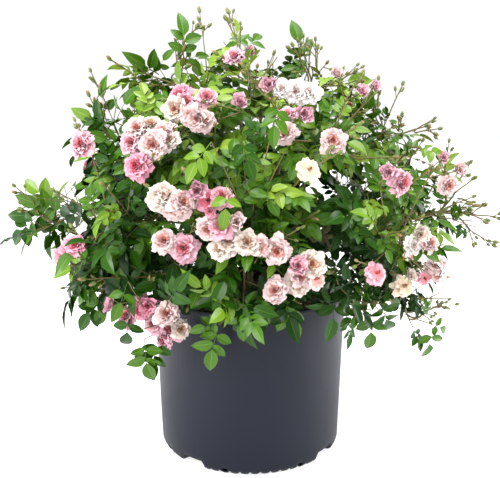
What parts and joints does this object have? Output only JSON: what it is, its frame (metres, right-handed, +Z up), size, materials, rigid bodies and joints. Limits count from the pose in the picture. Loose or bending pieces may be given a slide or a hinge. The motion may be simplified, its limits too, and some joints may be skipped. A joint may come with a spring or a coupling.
{
  "type": "potted rose bush",
  "caption": "Rounded shrub rose with small double blooms and compound leaves, growing in a squat round nursery pot.",
  "frame": {"origin": "centre of the pot's underside, on the surface it stands on", "axes": "+Z up; +X along the bush's widest spread; -Y towards the side with the most flowers"},
  "size_m": [0.6849, 0.5394, 0.6317],
  "materials": {
    "pot_plastic": "satin charcoal",
    "bark_mix": "loose bark",
    "old_wood": "rough bark",
    "green_wood": "smooth young bark",
    "foliage": "satin leaf",
    "blossom": "soft petal"
  },
  "bodies": {
    "root": {"pot": "pot_plastic", "potting_mix": "bark_mix", "woody_crown": "old_wood", "cane_1": "green_wood", "cane_2": "green_wood", "cane_3": "green_wood", "cane_4": "green_wood", "cane_5": "green_wood", "cane_6": "green_wood", "cane_7": "green_wood", "cane_8": "green_wood", "bough_skirt_1": "green_wood", "bough_skirt_2": "green_wood", "bough_skirt_3": "green_wood", "bough_skirt_4": "green_wood", "bough_skirt_5": "green_wood", "bough_skirt_6": "green_wood", "bough_skirt_7": "green_wood", "bough_skirt_8": "green_wood", "bough_skirt_9": "green_wood", "bough_crest_1": "green_wood", "bough_crest_2": "green_wood", "bough_crest_3": "green_wood", "bough_crest_4": "green_wood", "bough_crest_5": "green_wood", "bough_crest_6": "green_wood", "bough_top_1": "green_wood", "bough_top_2": "green_wood", "bough_top_3": "green_wood", "bough_top_4": "green_wood", "bough_top_5": "green_wood", "foliage_skirt_1": "foliage", "foliage_skirt_2": "foliage", "foliage_skirt_3": "foliage", "foliage_skirt_4": "foliage", "foliage_skirt_5": "foliage", "foliage_skirt_6": "foliage", "foliage_skirt_7": "foliage", "foliage_skirt_8": "foliage", "foliage_skirt_9": "foliage", "foliage_shoulder_1": "foliage", "foliage_shoulder_2": "foliage", "foliage_shoulder_3": "foliage", "foliage_shoulder_4": "foliage", "foliage_shoulder_5": "foliage", "foliage_shoulder_6": "foliage", "foliage_shoulder_7": "foliage", "foliage_shoulder_8": "foliage", "foliage_crest_1": "foliage", "foliage_crest_2": "foliage", "foliage_crest_3": "foliage", "foliage_crest_4": "foliage", "foliage_crest_5": "foliage", "foliage_crest_6": "foliage", "foliage_top_1": "foliage", "foliage_top_2": "foliage", "foliage_top_3": "foliage", "foliage_top_4": "foliage", "foliage_top_5": "foliage", "foliage_heart": "foliage"}
  },
  "joints": []
}
